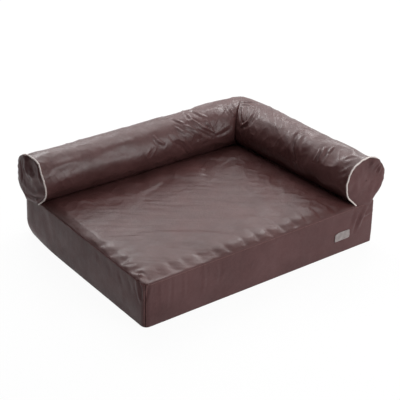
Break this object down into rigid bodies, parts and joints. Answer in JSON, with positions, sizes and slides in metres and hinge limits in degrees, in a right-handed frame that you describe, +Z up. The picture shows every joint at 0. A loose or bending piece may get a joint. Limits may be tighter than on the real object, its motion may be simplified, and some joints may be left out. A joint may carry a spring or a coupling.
{
  "type": "dog sofa bed",
  "caption": "L-shaped dog sofa bed: a boxed foam mattress with a mitred back and side bolster, piped round end panels and zipped removable covers.",
  "frame": {"origin": "centre of the mattress's underside", "axes": "+X along the mattress to the side bolster, +Y to the back bolster, +Z up"},
  "size_m": [0.8426, 0.6363, 0.2828],
  "materials": {
    "cover_leather": "satin",
    "top_cover_leather": "satin",
    "base_fabric": "matte",
    "support_foam": "matte",
    "memory_foam": "matte",
    "cushion_fleece": "matte",
    "piping_cord": "satin",
    "patch_weave": "satin",
    "zip_tape": "matte",
    "zip_teeth": "satin",
    "zip_metal": "satin"
  },
  "bodies": {
    "bed": {"foam_support_core": "support_foam", "foam_memory_layer": "memory_foam", "top_panel": "top_cover_leather", "base_panel": "base_fabric", "front_band": "cover_leather", "left_band": "cover_leather", "right_band": "cover_leather", "back_band_lower": "cover_leather", "back_band_upper": "cover_leather", "label_patch": "patch_weave", "back_bolster_cover": "cover_leather", "back_bolster_end_panel": "cover_leather", "back_bolster_cushion": "cushion_fleece", "back_bolster_piping": "piping_cord", "side_bolster_cover": "cover_leather", "side_bolster_end_panel": "cover_leather", "side_bolster_cushion": "cushion_fleece", "side_bolster_piping": "piping_cord", "mattress_zip_tape_upper": "zip_tape", "mattress_zip_tape_lower": "zip_tape", "mattress_zip_teeth_upper": "zip_teeth", "mattress_zip_teeth_lower": "zip_teeth", "mattress_zip_bottom_stop": "zip_metal", "mattress_zip_top_stops": "zip_metal", "back_bolster_zip_tape_upper": "zip_tape", "back_bolster_zip_tape_lower": "zip_tape", "back_bolster_zip_teeth_upper": "zip_teeth", "back_bolster_zip_teeth_lower": "zip_teeth", "back_bolster_zip_bottom_stop": "zip_metal", "back_bolster_zip_top_stops": "zip_metal", "side_bolster_zip_tape_upper": "zip_tape", "side_bolster_zip_tape_lower": "zip_tape", "side_bolster_zip_teeth_upper": "zip_teeth", "side_bolster_zip_teeth_lower": "zip_teeth", "side_bolster_zip_bottom_stop": "zip_metal", "side_bolster_zip_top_stops": "zip_metal"},
    "mattress_slider": {"mattress_zip_slider": "zip_metal"},
    "mattress_pull": {"mattress_zip_pull": "zip_metal"},
    "back_bolster_slider": {"back_bolster_zip_slider": "zip_metal"},
    "back_bolster_pull": {"back_bolster_zip_pull": "zip_metal"},
    "side_bolster_slider": {"side_bolster_zip_slider": "zip_metal"},
    "side_bolster_pull": {"side_bolster_zip_pull": "zip_metal"}
  },
  "joints": [
    {"name": "mattress_zip_slide", "type": "slide", "parent": "bed", "child": "mattress_slider", "axis": [-1, 0, 0], "range_m": [0, 0.55495], "deforming": ["mattress_zip_teeth_upper", "mattress_zip_teeth_lower"]},
    {"name": "mattress_pull_swing", "type": "hinge", "parent": "mattress_slider", "child": "mattress_pull", "pos_m": [0.28, 0.3177, 0.046], "axis": [0, 0, -1], "range_deg": [0, 175]},
    {"name": "back_bolster_zip_slide", "type": "slide", "parent": "bed", "child": "back_bolster_slider", "axis": [-0.9997, 0.0222, 0.0139], "range_m": [0, 0.37495], "deforming": ["back_bolster_zip_teeth_upper", "back_bolster_zip_teeth_lower"]},
    {"name": "back_bolster_pull_swing", "type": "hinge", "parent": "back_bolster_slider", "child": "back_bolster_pull", "pos_m": [0.13059, 0.29029, 0.20356], "axis": [-0.0139, 0.0003, -0.9999], "range_deg": [0, 175]},
    {"name": "side_bolster_zip_slide", "type": "slide", "parent": "bed", "child": "side_bolster_slider", "axis": [-0.0788, 0.9966, -0.0247], "range_m": [0, 0.25495], "deforming": ["side_bolster_zip_teeth_upper", "side_bolster_zip_teeth_lower"]},
    {"name": "side_bolster_pull_swing", "type": "hinge", "parent": "side_bolster_slider", "child": "side_bolster_pull", "pos_m": [0.41801, -0.18734, 0.21097], "axis": [0.0019, -0.0246, -0.9997], "range_deg": [0, 175]}
  ]
}
